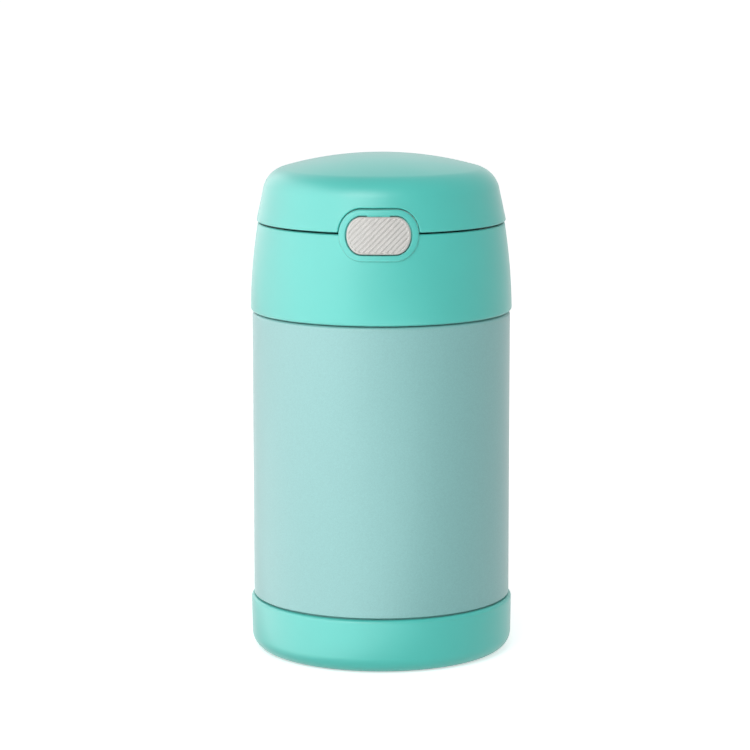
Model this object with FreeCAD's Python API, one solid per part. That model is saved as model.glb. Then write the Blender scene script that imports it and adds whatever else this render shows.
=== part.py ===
# Insulated food jar: vacuum steel body, screw-on stopper lid with a spoon tray, and a sprung flip cover.
# Millimetres. The origin is the centre of the foot, +Z is up and the push button faces -Y.
import FreeCAD, Part
import math
import os

vec = FreeCAD.Vector
Z_AXIS = vec(0, 0, 1)
X_AXIS = vec(1, 0, 0)
Y_AXIS = vec(0, 1, 0)

# Steel body, from the outside in and from the floor up
body_r = 44.5
shell_wall = 0.6
vacuum_gap = 3.4
liner_wall = 0.5
neck_in = 6.3
neck_gap = 0.6
base_in = 1.3
collar_bottom = 118.7
shoulder_drop = 0.5
shoulder_rise = 0.8
neck_h = 17.8
liner_floor = 15.0
liner_corner = 10.0
mouth_depth = 24.0
liner_slope_h = 8.0
liner_bend = 6.0
plate_lift = 3.6
dimple_r = 5.0
dimple_h = 1.4
getter_r = 6.0
getter_h = 1.3
getter_x = 20.0

# Base cup
base_h = 19.2
base_proud = 0.95
base_draft = 0.3
base_floor = 2.2
base_round = 5.65
base_edge = 1.2
foot_in = 9.95
foot_recess = 1.0
ledge_z = 4.0
ledge_w = 1.6

# Clearances
weld_gap = 0.03
glue_gap = 0.1
seat_gap = 0.3
run_gap = 0.08
parting_gap = 0.45
button_gap = 0.4
arch_gap = 0.5
latch_gap = 0.15
thread_room = 1.5
plug_gap = 1.2
flange_gap = 0.5

# Stopper
tray_wall = 1.6
tray_step = 0.2
tray_sink = 5.5
tray_floor_t = 1.5
flange_t = 2.4
plug_wall = 1.6
plug_h = 18.7
skirt_wall = 1.6
skirt_up = 1.7
cap_proud = 0.3
cap_floor = 2.0
cap_rim = 3.8
spigot_h = 10.2
spigot_wall = 2.0
gasket_room = 4.5
gasket_bead = 0.7

# Collar
collar_h = 30.8
collar_proud = 0.6
collar_taper = 2.6
collar_bulge = 0.57
collar_foot_wall = 2.1
deck_t = 1.5
deck_drop = 2.6
housing_wall = 1.2
housing_depth = 10.2
housing_rise = 1.5
bezel_w = 26.8
bezel_h = 18.1
bezel_proud = 1.35
bezel_depth = 4.0
bezel_edge = 0.6
pocket_depth = 2.7
pill_flat = 11.4
guide_rib_w = 7.6

# Push button and latch
button_w = 21.4
button_h = 12.6
button_proud = 0.3
button_edge = 0.5
stop_lip = 1.3
stop_t = 1.2
button_travel = 1.8
slide_t = 1.5
slide_rail = 1.2
slide_up = 3.0
slide_bar = 1.55
window_gap = 1.0
spring_gap = 0.75
spring_wall_gap = 0.95
spring_r = 1.6
spring_wire = 0.25
spring_turns = 5
spring_up = 3.6

# Flip cover
cover_h = 23.1
cover_wall = 2.0
cover_overhang = 0.4
cover_taper = 12.1
dome_r = 123.2
shoulder_round = 9.35
liner_plate_up = 2.7
liner_plate_t = 1.5
liner_skirt_h = 5.0
liner_skirt_t = 1.8
tongue_w = 7.6
tongue_t = 1.8
tongue_behind = 1.9
barb_h = 0.9
barb_reach = 1.6

# Hinge
hinge_in = 0.3
knuckle_r = 2.9
notch_gap = 0.5
pin_r = 1.0
pin_short = 0.4
knuckle_in = 4.4
knuckle_w = 4.5
ear_w = 4.6
web_h = 11.0
web_foot = 1.7
coil_r = 2.1
coil_wire = 0.35
coil_span = 5.6
coil_turns = 4.5
coil_leg = 7.0

# Folding spoon
bowl_short = 9.0
bowl_w = 33.0
bowl_depth = 7.6
spoon_wall = 0.9
spoon_tab_r = 4.5
spoon_room = 1.0
spoon_handle_room = 5.5
spoon_handle_r = 7.0
spoon_handle_t = 1.2
rivet_r = 1.15
rivet_head_r = 2.2
rivet_head_t = 0.5

# Radii that follow
base_r = body_r + base_proud
base_low_r = base_r - base_draft
foot_r = body_r + base_proud - foot_in
recess_r = body_r - base_in
liner_r = body_r - shell_wall - vacuum_gap - liner_wall
neck_r = body_r - neck_in
mouth_r = neck_r - shell_wall - neck_gap - liner_wall
plug_r = mouth_r - plug_gap
cap_r = plug_r + cap_proud
tray_outer = plug_r - tray_step
tray_r = tray_outer - tray_wall
skirt_in = neck_r + thread_room
skirt_r = skirt_in + skirt_wall
rim_in_r = skirt_r + glue_gap
collar_bottom_r = body_r + collar_proud
collar_top_r = collar_bottom_r - collar_taper
collar_foot_r = collar_bottom_r - collar_foot_wall
cover_rim_r = collar_top_r + cover_overhang
bowl_len = 2 * (tray_r - bowl_short)

# Heights that follow
parting_z = collar_bottom + collar_h
cover_bottom = parting_z + parting_gap
jar_h = parting_z + cover_h
shell_step = base_h + seat_gap
shell_top = collar_bottom - shoulder_drop
neck_top = shell_top + neck_h
mouth_low = neck_top - mouth_depth
liner_shoulder = mouth_low - liner_slope_h
flange_z = neck_top + liner_wall + flange_gap
flange_top = flange_z + flange_t
tray_floor = flange_z - tray_sink
plug_bottom = flange_z - plug_h
cap_bottom = plug_bottom - gasket_room - cap_rim
skirt_bottom = collar_bottom + skirt_up
deck_top = parting_z - deck_drop
deck_under = deck_top - deck_t
housing_floor = flange_top + flange_gap
housing_top = deck_top + housing_rise
button_z = parting_z
slide_z = housing_floor + slide_up
spring_z = housing_floor + spring_up
tongue_bottom = slide_z - seat_gap - barb_h
liner_plate_z = parting_z + liner_plate_up
spoon_rim = tray_floor + seat_gap + bowl_depth

# Widths of the latch, from its tongue outwards, that follow
window_w = tongue_w + 2 * window_gap
slide_w = window_w + 2 * slide_rail
spring_x = slide_w / 2 + spring_gap + spring_r + spring_wire
housing_w = 2 * (spring_x + spring_r + spring_wire + spring_wall_gap + housing_wall)

# Depths behind the front, and the hinge, that follow
bezel_back = collar_top_r - bezel_depth
housing_back = bezel_back - housing_depth
stop_front = bezel_back + pocket_depth - seat_gap
tongue_front = bezel_back - tongue_behind
ledge_front = tongue_front - tongue_t - barb_reach - latch_gap
slide_end = ledge_front - slide_bar
hinge_y = collar_top_r - hinge_in
knuckle_out = knuckle_in + knuckle_w
ear_in = knuckle_out + seat_gap
ear_out = ear_in + ear_w
notch_r = knuckle_r + notch_gap
spoon_pivot_x = spoon_room + spoon_tab_r - tray_r
spoon_handle_end = tray_r - spoon_handle_room - spoon_handle_r


def outline(points, place=lambda a, b: vec(a, 0, b)):
    """Closed wire through (a, b) or (a, b, round) corners; a round is an arc that touches both runs."""
    edges = []
    ends = []
    for i, corner in enumerate(points):
        here = vec(corner[0], corner[1], 0)
        before = here - vec(points[i - 1][0], points[i - 1][1], 0)
        after = vec(points[(i + 1) % len(points)][0], points[(i + 1) % len(points)][1], 0) - here
        radius = corner[2] if len(corner) > 2 else 0
        if radius == 0:
            ends.append((here, here))
            continue
        before.normalize()
        after.normalize()
        turn = math.acos(max(-1.0, min(1.0, before.dot(after))))
        inward = after - before
        inward.normalize()
        start = here - before * (radius * math.tan(turn / 2))
        finish = here + after * (radius * math.tan(turn / 2))
        middle = here + inward * (radius / math.cos(turn / 2) - radius)
        edges.append((i, Part.Arc(place(start.x, start.y), place(middle.x, middle.y), place(finish.x, finish.y))))
        ends.append((start, finish))
    arcs = dict(edges)
    wire = []
    for i in range(len(points)):
        if i in arcs:
            wire.append(arcs[i].toShape())
        leave = ends[i][1]
        reach = ends[(i + 1) % len(points)][0]
        if (reach - leave).Length > 1e-6:
            wire.append(Part.LineSegment(place(leave.x, leave.y), place(reach.x, reach.y)).toShape())
    return Part.Wire(wire)


def turned(wire):
    """Solid of revolution about the jar's axis from a closed wire of radius and height."""
    return Part.Face(wire).revolve(vec(0, 0, 0), Z_AXIS, 360)


def shifted(points, distance):
    """The same open chain moved to its left by a distance, with mitred corners and matching rounds."""
    flat = [vec(p[0], p[1], 0) for p in points]
    normals = []
    for a, b in zip(flat[:-1], flat[1:]):
        run = (b - a).normalize()
        normals.append(vec(-run.y, run.x, 0))
    moved = []
    for i, p in enumerate(flat):
        first = normals[max(i - 1, 0)]
        second = normals[min(i, len(normals) - 1)]
        step = (first + second) * (distance / (1 + first.dot(second)))
        left_turn = first.cross(second).z > 0
        radius = points[i][2] if len(points[i]) > 2 else 0
        if radius:
            radius = max(radius - distance if left_turn else radius + distance, 0)
        moved.append((p.x + step.x, p.y + step.y, radius))
    return moved


def sheet(points, thickness):
    """Turned sheet of one thickness; the chain is one face of it and the sheet lies to the chain's left."""
    back = shifted(points, thickness)
    return turned(outline(list(points) + back[::-1]))


def ring_edges(shape, radius, height):
    """The circular edges of a turned solid that lie at a radius and height."""
    found = []
    for edge in shape.Edges:
        box = edge.BoundBox
        level = abs(box.ZMin - height) < 0.01 and abs(box.ZMax - height) < 0.01
        if level and abs(box.XMax - radius) < 0.01:
            found.append(edge)
    return found


def box(x0, x1, y0, y1, z0, z1):
    """Box between two corners."""
    return Part.makeBox(x1 - x0, y1 - y0, z1 - z0, vec(x0, y0, z0))


def rod(radius, x0, x1, y, z):
    """Cylinder along X."""
    return Part.makeCylinder(radius, x1 - x0, vec(x0, y, z), X_AXIS)


def pill(width, height, y0, y1):
    """Prism along Y of the button's outline: two level flats joined by half-ellipse ends."""
    end_w = (width - pill_flat) / 2
    middle = box(-pill_flat / 2, pill_flat / 2, y0, y1, button_z - height / 2, button_z + height / 2)
    shape = middle
    for side in (-1, 1):
        centre = vec(side * pill_flat / 2, y0, button_z)
        tip = centre + vec(side * end_w, 0, 0)
        crown = centre + vec(0, 0, height / 2)
        oval = Part.Ellipse(tip, crown, centre) if end_w > height / 2 else Part.Ellipse(crown, tip, centre)
        end = Part.Face(Part.Wire([oval.toShape()])).extrude(vec(0, y1 - y0, 0))
        shape = shape.fuse(end)
    return shape.removeSplitter()


def biarc(start, leave, finish, arrive):
    """Two arcs that meet smoothly, from one point and direction to another."""
    across = finish - start
    both = leave + arrive
    bend = 2 * (1 - leave.dot(arrive))
    reach = (-across.dot(both) + math.sqrt(across.dot(both) ** 2 + bend * across.dot(across))) / bend
    first = start + leave * reach
    last = finish - arrive * reach
    meet = (first + last) * 0.5
    arcs = []
    for a, corner, b in ((start, first, meet), (meet, last, finish)):
        chord_mid = (a + b) * 0.5
        half = (b - chord_mid).Length
        drop = (corner - chord_mid).Length
        radius = half * (corner - a).Length / drop
        rise = radius - math.sqrt(radius ** 2 - half ** 2)
        top = chord_mid + (corner - chord_mid) * (rise / drop)
        arcs.append(Part.Arc(a, top, b))
    return arcs


def coil_path(spot, heading, turns):
    """Arcs of a coil, one biarc per quarter turn; spot and heading give a point and direction at a turn."""
    arcs = []
    quarters = int(round(turns * 4))
    for i in range(quarters):
        here = turns * i / quarters
        there = turns * (i + 1) / quarters
        arcs += biarc(spot(here), heading(here), spot(there), heading(there))
    return arcs


def wire_tube(curves, radius):
    """Round wire swept along one unbroken path."""
    path = Part.Wire([c.toShape() for c in curves])
    start = curves[0].StartPoint
    direction = curves[0].tangent(curves[0].FirstParameter)[0]
    section = Part.Wire([Part.Circle(start, direction, radius).toShape()])
    return path.makePipeShell([section], True, False)


def least_gap(curves, radius, turn_length):
    """Least clear space between a coil's own turns, measured between points along its middle line."""
    spots = []
    travelled = []
    total = 0.0
    for curve in curves:
        edge = curve.toShape()
        for k in range(6):
            spots.append(edge.valueAt(edge.FirstParameter + (edge.LastParameter - edge.FirstParameter) * k / 6))
            travelled.append(total + edge.Length * k / 6)
        total += edge.Length
    least = 1e9
    for i, p in enumerate(spots):
        for j in range(i + 1, len(spots)):
            if travelled[j] - travelled[i] > turn_length / 2:
                least = min(least, (spots[j] - p).Length)
    return least - 2 * radius


def front_edges(shape, back):
    """Edges round the front face of a prism along Y, whose flat back stands at a depth."""
    found = []
    for edge in shape.Edges:
        far = edge.BoundBox.YMax > 0.2 - back
        along = edge.BoundBox.YLength > 0.9 * edge.Length
        if not far and not along:
            found.append(edge)
    return found


def collar_face_r(z):
    """Outside radius of the collar, and above the parting of the cover, without the collar's slight bulge."""
    if z <= parting_z:
        share = (z - collar_bottom) / (parting_z - collar_bottom)
        return collar_bottom_r + (collar_top_r - collar_bottom_r) * share
    return cover_side_r(z)


def cover_side_r(z):
    """Outside radius of the cover's straight, tapering side."""
    return cover_rim_r - (z - cover_bottom) * math.tan(math.radians(cover_taper))


def dome_meets_side(inset):
    """Radius and height where the side and the crown sphere cross, both moved in by an inset."""
    lean = math.tan(math.radians(cover_taper))
    side = cover_rim_r - inset / math.cos(math.radians(cover_taper))
    ball = dome_r - inset
    centre_z = jar_h - dome_r
    side_at_centre = side + (cover_bottom - centre_z) * lean
    a = 1 + lean ** 2
    b = -2 * side_at_centre * lean
    c = side_at_centre ** 2 - ball ** 2
    height = (-b + math.sqrt(b ** 2 - 4 * a * c)) / (2 * a)
    return side_at_centre - height * lean, centre_z + height


def dome_solid(inset, bottom, round_r):
    """The cover's outer form moved in by an inset, filled, from a level up to the crown."""
    corner_r, corner_z = dome_meets_side(inset)
    lean = math.tan(math.radians(cover_taper))
    foot = cover_rim_r - inset / math.cos(math.radians(cover_taper)) - (bottom - cover_bottom) * lean
    ball = dome_r - inset
    centre_z = jar_h - dome_r
    crown = vec(0, 0, jar_h - inset)
    half_angle = math.asin(corner_r / ball) / 2
    middle = vec(ball * math.sin(half_angle), 0, centre_z + ball * math.cos(half_angle))
    wire = Part.Wire([
        Part.LineSegment(vec(0, 0, bottom), vec(foot, 0, bottom)).toShape(),
        Part.LineSegment(vec(foot, 0, bottom), vec(corner_r, 0, corner_z)).toShape(),
        Part.Arc(vec(corner_r, 0, corner_z), middle, crown).toShape(),
        Part.LineSegment(crown, vec(0, 0, bottom)).toShape(),
    ])
    solid = turned(wire)
    return solid.makeFillet(round_r, ring_edges(solid, corner_r, corner_z))


def base_cup():
    """Glued-on cup: a ring foot round a shallow recess, a large bottom round and a ledge for the shell."""
    fit_r = recess_r + glue_gap
    return turned(outline([
        (0, foot_recess), (foot_r - foot_recess, foot_recess, 0.5), (foot_r, 0, 0.5),
        (base_low_r, 0, base_round), (base_r, base_h, base_edge), (fit_r, base_h),
        (fit_r, ledge_z), (fit_r - ledge_w, ledge_z), (fit_r - ledge_w, base_floor, 0.8), (0, base_floor),
    ]))


def outer_shell():
    """Outer steel sheet: necked in at the foot for the cup and at the top for the threaded neck."""
    return sheet([
        (recess_r, ledge_z), (recess_r, shell_step, 0.3), (body_r, shell_step + 0.3, 0.3),
        (body_r, shell_top, 1.2), (neck_r, shell_top + shoulder_rise, 1.5), (neck_r, neck_top),
    ], shell_wall)


def inner_liner():
    """Inner steel sheet: the food cavity, its neck, and the rim that laps over the outer shell."""
    return sheet([
        (0, liner_floor), (liner_r, liner_floor, liner_corner), (liner_r, liner_shoulder, liner_bend),
        (mouth_r, mouth_low, liner_bend), (mouth_r, neck_top + liner_wall, 0.4), (neck_r, neck_top + liner_wall),
    ], -liner_wall)


def shell_bottom():
    """Steel plate that closes the vacuum space, flanged down at its edge, with the evacuation dimple."""
    edge_r = recess_r - shell_wall - weld_gap
    plate = ledge_z + plate_lift
    return sheet([
        (edge_r, ledge_z), (edge_r, plate, 1.2), (dimple_r + dimple_h, plate, 0.8),
        (dimple_r, plate + dimple_h, 0.8), (0, plate + dimple_h),
    ], shell_wall)


def getter():
    """Getter pan: a shallow ring-shaped pan fixed on the bottom plate inside the vacuum."""
    foot = vec(getter_x, 0, ledge_z + plate_lift)
    pan = Part.makeCylinder(getter_r, getter_h, foot)
    channel = Part.makeCylinder(getter_r * 0.8, getter_h / 2, foot + vec(0, 0, getter_h / 2))
    return pan.cut(channel)


def stopper_body():
    """Moulding inside the collar: spoon tray, flange over the mouth, plug wall and the threaded skirt."""
    plug_in = plug_r - plug_wall
    solid = turned(outline([
        (0, tray_floor), (tray_r, tray_floor, 2.0), (tray_r, deck_under), (tray_outer, deck_under),
        (tray_outer, flange_top), (skirt_r, flange_top, 0.6), (skirt_r, skirt_bottom, 0.4),
        (skirt_in, skirt_bottom, 0.4), (skirt_in, flange_z), (plug_r, flange_z), (plug_r, plug_bottom),
        (plug_in, plug_bottom), (plug_in, tray_floor - tray_floor_t, 1.0), (0, tray_floor - tray_floor_t),
    ]))
    housing_room = box(-housing_w / 2 - glue_gap, housing_w / 2 + glue_gap, -body_r, -housing_back + glue_gap,
                       housing_floor - seat_gap, deck_top)
    return solid.cut(housing_room)


def stopper_foam():
    """Insulating foam disc, stepped to fill the plug between the tray and the cap."""
    low_r = plug_r - plug_wall - latch_gap - spigot_wall - seat_gap
    high_r = plug_r - plug_wall - seat_gap
    step = cap_bottom + cap_rim + spigot_h + seat_gap
    floor = cap_bottom + cap_floor
    ceiling = tray_floor - tray_floor_t
    return turned(outline([
        (0, floor), (low_r, floor, 1.0), (low_r, step), (high_r, step), (high_r, ceiling, 1.0), (0, ceiling),
    ]))


def stopper_cap():
    """Bottom cap of the stopper: a rounded flange that holds the gasket, and a spigot up inside the plug."""
    spigot_r = plug_r - plug_wall - latch_gap
    top = cap_bottom + cap_rim
    return turned(outline([
        (0, cap_bottom), (cap_r, cap_bottom, 2.0), (cap_r, top, 0.4), (spigot_r, top),
        (spigot_r, top + spigot_h), (spigot_r - spigot_wall, top + spigot_h),
        (spigot_r - spigot_wall, cap_bottom + cap_floor, 1.0), (0, cap_bottom + cap_floor),
    ]))


def mouth_gasket():
    """Silicone ring with two sealing beads, held between the plug wall and the cap."""
    bore_r = plug_r - plug_wall - latch_gap + seat_gap
    lip_r = mouth_r - seat_gap
    low = cap_bottom + cap_rim + seat_gap
    high = plug_bottom - seat_gap
    span = high - low
    return turned(outline([
        (bore_r, low, 0.3), (lip_r - 0.5, low, 0.4), (lip_r, low + span * 0.25, 0.4),
        (lip_r - gasket_bead, low + span * 0.5, 0.4), (lip_r, low + span * 0.75, 0.4),
        (lip_r - 0.5, high, 0.4), (bore_r, high, 0.3),
    ]))


def bezel():
    """Raised pill round the button, following the collar below the parting and the cover above it."""
    low = button_z - bezel_h / 2
    high = button_z + bezel_h / 2
    face = turned(outline([
        (0, low - 1), (collar_face_r(low) + bezel_proud, low - 1),
        (collar_face_r(low) + bezel_proud, low), (collar_face_r(high) + bezel_proud, high),
        (collar_face_r(high) + bezel_proud, high + 1), (0, high + 1),
    ]))
    ring = pill(bezel_w, bezel_h, -body_r - 4, -bezel_back).common(face)
    return ring.makeFillet(bezel_edge, front_edges(ring, bezel_back))


def collar():
    """Outer shell of the lid: curved wall, deck, bezel with the latch housing behind it, and hinge ears."""
    middle_z = (collar_bottom + parting_z) / 2
    middle_r = (collar_bottom_r + collar_top_r) / 2 + collar_bulge
    inside = [
        vec(collar_top_r, 0, parting_z), vec(rim_in_r, 0, parting_z), vec(rim_in_r, 0, deck_top),
        vec(tray_r, 0, deck_top), vec(tray_r, 0, deck_under), vec(rim_in_r, 0, deck_under),
        vec(rim_in_r, 0, flange_z), vec(collar_foot_r, 0, collar_bottom),
        vec(collar_bottom_r, 0, collar_bottom),
    ]
    edges = [Part.Arc(inside[-1], vec(middle_r, 0, middle_z), inside[0]).toShape()]
    for a, b in zip(inside[:-1], inside[1:]):
        edges.append(Part.LineSegment(a, b).toShape())
    solid = turned(Part.Wire(edges))
    solid = solid.makeFillet(1.0, ring_edges(solid, collar_bottom_r, collar_bottom))
    solid = solid.makeFillet(0.6, ring_edges(solid, collar_top_r, parting_z))

    # latch housing: a closed box under the bezel, trimmed to stay inside the collar's wall
    housing = box(-housing_w / 2, housing_w / 2, -body_r, -housing_back, housing_floor, housing_top)
    inner_bound = Part.makeCylinder(rim_in_r + seat_gap, jar_h)
    solid = solid.fuse([housing.common(inner_bound), bezel()])

    # bores through the bezel: the button's guide, the pocket of its stop lip and the slide's chamber
    guide = pill(button_w + 2 * button_gap, button_h + 2 * button_gap, -body_r - 5, -bezel_back)
    pocket = pill(button_w + 2 * (stop_lip + button_gap), button_h + 2 * (stop_lip + button_gap),
                  -bezel_back - pocket_depth, -bezel_back + button_travel)
    chamber = box(-housing_w / 2 + housing_wall, housing_w / 2 - housing_wall, -bezel_back - pocket_depth,
                  -housing_back - housing_wall, housing_floor + housing_wall, housing_top - housing_wall)
    slot = box(-tongue_w / 2 - button_gap, tongue_w / 2 + button_gap, -tongue_front - 2 * button_gap,
               -ledge_front + seat_gap, housing_top - 2 * housing_wall, parting_z)
    solid = solid.cut([guide, pocket, chamber, slot])
    guide_rib = box(-guide_rib_w / 2, guide_rib_w / 2, -bezel_back - pocket_depth - 2, -bezel_back - pocket_depth,
                    button_z + button_h / 2 + latch_gap, button_z + button_h / 2 + 1)
    solid = solid.fuse(guide_rib)

    # hinge: a rounded notch for the cover's knuckles and the coil, and two ears on tapering webs
    solid = solid.cut(rod(notch_r, -ear_in, ear_in, hinge_y, parting_z))
    for x0 in (-ear_out, ear_in):
        web = Part.Face(outline([
            (hinge_y - knuckle_r, parting_z), (hinge_y + knuckle_r, parting_z),
            (hinge_y + web_foot, parting_z - web_h), (rim_in_r + glue_gap, parting_z - web_h),
            (rim_in_r + glue_gap, deck_under),
            (hinge_y - knuckle_r, deck_under),
        ], lambda a, b: vec(x0, a, b))).extrude(vec(ear_w, 0, 0))
        solid = solid.fuse([rod(knuckle_r, x0, x0 + ear_w, hinge_y, parting_z), web])
    solid = solid.cut(rod(pin_r + run_gap / 4, -ear_out - 1, ear_out + 1, hinge_y, parting_z))
    return solid.removeSplitter()


def push_button():
    """Button cap: a pill-shaped plug whose face follows the bezel's and stands a little proud of it."""
    low = button_z - bezel_h / 2
    high = button_z + bezel_h / 2
    proud = bezel_proud + button_proud
    face = turned(outline([
        (0, low), (collar_face_r(low) + proud, low), (collar_face_r(high) + proud, high), (0, high),
    ]))
    cap = pill(button_w, button_h, -body_r - 4, -stop_front).common(face)
    return cap.makeFillet(button_edge, front_edges(cap, stop_front))


def latch_slide():
    """Slide behind the cap: a stop lip, and a plate whose window the cover's tongue passes through."""
    lip = pill(button_w + 2 * stop_lip, button_h + 2 * stop_lip, -stop_front, -stop_front + stop_t)
    plate = box(-slide_w / 2, slide_w / 2, -stop_front + stop_t, -slide_end, slide_z, slide_z + slide_t)
    window = box(-window_w / 2, window_w / 2, -tongue_front - button_travel - 2 * button_gap, -ledge_front,
                 slide_z - 1, slide_z + slide_t + 1)
    return lip.fuse(plate).cut(window).removeSplitter()


def button_springs():
    """Two compression springs between the stop lip and the back wall of the housing."""
    front = -stop_front + stop_t + spring_wire
    back = -housing_back - housing_wall - spring_wire
    pitch = (back - front) / spring_turns
    springs = []
    for side in (-1, 1):
        def spot(turn, side=side):
            angle = 2 * math.pi * turn
            return vec(side * spring_x + spring_r * math.cos(angle), front + pitch * turn,
                       spring_z + spring_r * math.sin(angle))

        def heading(turn):
            angle = 2 * math.pi * turn
            sweep = 2 * math.pi * spring_r
            return vec(-sweep * math.sin(angle), pitch, sweep * math.cos(angle)).normalize()

        arcs = coil_path(spot, heading, spring_turns)
        print("button spring least gap", round(least_gap(arcs, spring_wire, 2 * math.pi * spring_r), 3))
        springs.append(wire_tube(arcs, spring_wire))
    return Part.makeCompound(springs)


def hinge_spring():
    """Torsion spring on the hinge pin: one leg lies on the deck and the other under the cover's liner."""
    pitch = coil_span / coil_turns
    first_x = -coil_span / 2

    def spot(turn):
        angle = 2 * math.pi * turn - math.pi / 2
        return vec(first_x + pitch * turn, hinge_y + coil_r * math.cos(angle), parting_z + coil_r * math.sin(angle))

    def heading(turn):
        angle = 2 * math.pi * turn - math.pi / 2
        sweep = 2 * math.pi * coil_r
        ramp = pitch * math.sin(math.pi * turn / coil_turns)
        return vec(ramp, -sweep * math.sin(angle), sweep * math.cos(angle)).normalize()

    arcs = coil_path(spot, heading, coil_turns)
    print("hinge spring least gap", round(least_gap(arcs, coil_wire, 2 * math.pi * coil_r), 3))
    leg_in = Part.LineSegment(spot(0) - vec(0, coil_leg, 0), spot(0))
    leg_out = Part.LineSegment(spot(coil_turns), spot(coil_turns) - vec(0, coil_leg, 0))
    path = Part.Wire([leg_in.toShape()] + [a.toShape() for a in arcs] + [leg_out.toShape()])
    section = Part.Wire([Part.Circle(spot(0) - vec(0, coil_leg, 0), Y_AXIS, coil_wire).toShape()])
    return path.makePipeShell([section], True, False)


def hinge_pin():
    """Steel pin through the ears, the knuckles and the coil."""
    return rod(pin_r, pin_short - ear_out, ear_out - pin_short, hinge_y, parting_z)


def cover_dome():
    """Outer shell of the flip cover: tapering side, round shoulder, shallow crown, arch and knuckles."""
    inner_round = shoulder_round - cover_wall
    solid = dome_solid(0, cover_bottom, shoulder_round)
    solid = solid.makeFillet(0.8, ring_edges(solid, cover_rim_r, cover_bottom))
    solid = solid.cut(dome_solid(cover_wall, cover_bottom - 1, inner_round))
    arch = pill(bezel_w + 2 * arch_gap, bezel_h + 2 * arch_gap, -body_r - 5, -bezel_back + button_travel)
    notches = [rod(notch_r, knuckle_out, ear_out + seat_gap, hinge_y, parting_z),
               rod(notch_r, -ear_out - seat_gap, -knuckle_out, hinge_y, parting_z),
               rod(notch_r, -knuckle_in, knuckle_in, hinge_y, parting_z)]
    solid = solid.cut([arch] + notches)
    knuckles = [rod(knuckle_r, knuckle_in, knuckle_out, hinge_y, parting_z),
                rod(knuckle_r, -knuckle_out, -knuckle_in, hinge_y, parting_z)]
    solid = solid.fuse(knuckles)
    return solid.cut(rod(pin_r + run_gap, -ear_out, ear_out, hinge_y, parting_z)).removeSplitter()


def cover_liner():
    """Inner pan of the flip cover, with the latch tongue that hangs from its front edge."""
    pan = dome_solid(cover_wall + glue_gap, liner_plate_z, shoulder_round - cover_wall - glue_gap)
    pan = pan.common(Part.makeCylinder(body_r, liner_plate_t + liner_skirt_h, vec(0, 0, liner_plate_z)))
    room_r = cover_side_r(liner_plate_z + liner_skirt_h) - cover_wall - glue_gap - liner_skirt_t
    pan = pan.cut(Part.makeCylinder(room_r, jar_h, vec(0, 0, liner_plate_z + liner_plate_t)))
    arch = pill(bezel_w + 2 * arch_gap, bezel_h + 2 * arch_gap, -body_r - 5, -bezel_back + button_travel)
    pan = pan.cut([arch, rod(notch_r, -ear_out - seat_gap, ear_out + seat_gap, hinge_y, parting_z)])
    back = -tongue_front + tongue_t
    tongue = Part.Face(outline([
        (-tongue_front, liner_plate_z + 0.5), (-tongue_front, tongue_bottom), (back, tongue_bottom),
        (back + barb_reach, tongue_bottom + barb_h * 0.4), (back + barb_reach, tongue_bottom + barb_h),
        (back, tongue_bottom + barb_h), (back, liner_plate_z + 0.5),
    ], lambda a, b: vec(-tongue_w / 2, a, b))).extrude(vec(tongue_w, 0, 0))
    return pan.fuse(tongue).removeSplitter()


def spoon_bowl():
    """Steel bowl pressed as half an ellipsoid, with the tab that the handle folds on."""
    def half_ellipsoid(inset):
        size = FreeCAD.Matrix()
        size.scale(bowl_len / 2 - inset, bowl_w / 2 - inset, bowl_depth - inset)
        ball = Part.makeSphere(1.0).transformGeometry(size)
        ball.translate(vec(0, 0, spoon_rim))
        return ball

    above = box(-bowl_len, bowl_len, -bowl_w, bowl_w, spoon_rim, spoon_rim + 2 * bowl_depth)
    bowl = half_ellipsoid(0).cut([half_ellipsoid(spoon_wall), above])
    tab = Part.makeCylinder(spoon_tab_r, spoon_wall, vec(spoon_pivot_x, 0, spoon_rim - spoon_wall))
    neck = box(spoon_pivot_x, -bowl_len / 2 + 1.6, -spoon_tab_r, spoon_tab_r, spoon_rim - spoon_wall, spoon_rim)
    bowl = bowl.fuse([tab, neck.cut(half_ellipsoid(spoon_wall))])
    return bowl.cut(Part.makeCylinder(rivet_r + run_gap, bowl_depth, vec(spoon_pivot_x, 0, spoon_rim - bowl_depth)))


def spoon_handle():
    """Flat folding handle: two round ends joined by straight sides that touch them."""
    z = spoon_rim + seat_gap
    span = spoon_handle_end - spoon_pivot_x
    lean = math.asin((spoon_handle_r - spoon_tab_r) / span)
    small = vec(spoon_pivot_x, 0, z)
    large = vec(spoon_handle_end, 0, z)

    def touch(centre, radius, side):
        return centre + vec(-radius * math.sin(lean), side * radius * math.cos(lean), 0)

    wire = Part.Wire([
        Part.LineSegment(touch(small, spoon_tab_r, 1), touch(large, spoon_handle_r, 1)).toShape(),
        Part.Arc(touch(large, spoon_handle_r, 1), large + vec(spoon_handle_r, 0, 0),
                 touch(large, spoon_handle_r, -1)).toShape(),
        Part.LineSegment(touch(large, spoon_handle_r, -1), touch(small, spoon_tab_r, -1)).toShape(),
        Part.Arc(touch(small, spoon_tab_r, -1), small - vec(spoon_tab_r, 0, 0),
                 touch(small, spoon_tab_r, 1)).toShape(),
    ])
    handle = Part.Face(wire).extrude(vec(0, 0, spoon_handle_t))
    handle = handle.makeFillet(0.3, [e for e in handle.Edges if e.BoundBox.ZLength < 0.01])
    return handle.cut(Part.makeCylinder(rivet_r + run_gap, 2 * spoon_handle_t, vec(spoon_pivot_x, 0, z)))


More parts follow.
